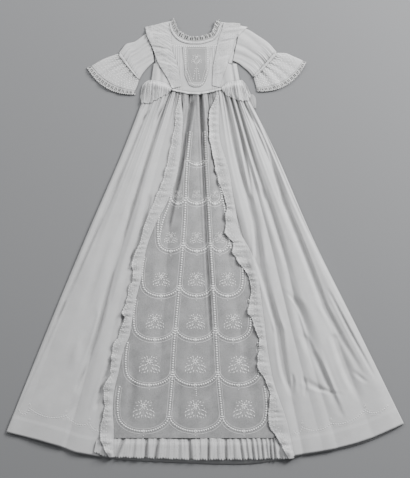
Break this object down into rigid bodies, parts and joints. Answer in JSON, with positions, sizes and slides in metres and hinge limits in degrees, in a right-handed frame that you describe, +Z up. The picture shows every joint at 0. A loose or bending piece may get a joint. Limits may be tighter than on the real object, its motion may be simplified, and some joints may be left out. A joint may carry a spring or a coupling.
{
  "type": "christening gown",
  "caption": "Baby's long white whitework christening gown laid flat on its back, with lace neck and cuffs, shoulder frills, waved robings and a frilled hem.",
  "frame": {"origin": "middle of the gown's outline, on the surface it lies on", "axes": "+X to the right as seen from above, +Y from the hem towards the neck, +Z up from the surface"},
  "size_m": [0.898, 1.0095, 0.017],
  "materials": {
    "plain_cotton": "matte fine white cotton lawn",
    "embroidered_cotton": "matte white cotton with white embroidery",
    "back_cotton": "matte fine white cotton lawn, underneath",
    "lace": "matte white cotton lace"
  },
  "bodies": {
    "root": {"bodice_back": "back_cotton", "bodice_front": "plain_cotton", "bodice_inset": "embroidered_cotton", "bretelle_left": "embroidered_cotton", "bretelle_right": "embroidered_cotton", "cuff_lace_left_under": "lace", "cuff_lace_left_upper": "lace", "cuff_lace_right_under": "lace", "cuff_lace_right_upper": "lace", "cuff_left": "embroidered_cotton", "cuff_right": "embroidered_cotton", "hem_frill": "embroidered_cotton", "neck_band": "embroidered_cotton", "neck_lace_back": "lace", "neck_lace_front": "lace", "robing_left": "embroidered_cotton", "robing_right": "embroidered_cotton", "skirt_back": "back_cotton", "skirt_front_panel": "embroidered_cotton", "skirt_side_left": "plain_cotton", "skirt_side_right": "plain_cotton", "sleeve_band_left": "embroidered_cotton", "sleeve_band_right": "embroidered_cotton", "sleeve_left": "plain_cotton", "sleeve_right": "plain_cotton", "waist_frill_left": "embroidered_cotton", "waist_frill_right": "embroidered_cotton", "waist_frill_right_back": "back_cotton", "waistband": "plain_cotton"}
  },
  "joints": []
}
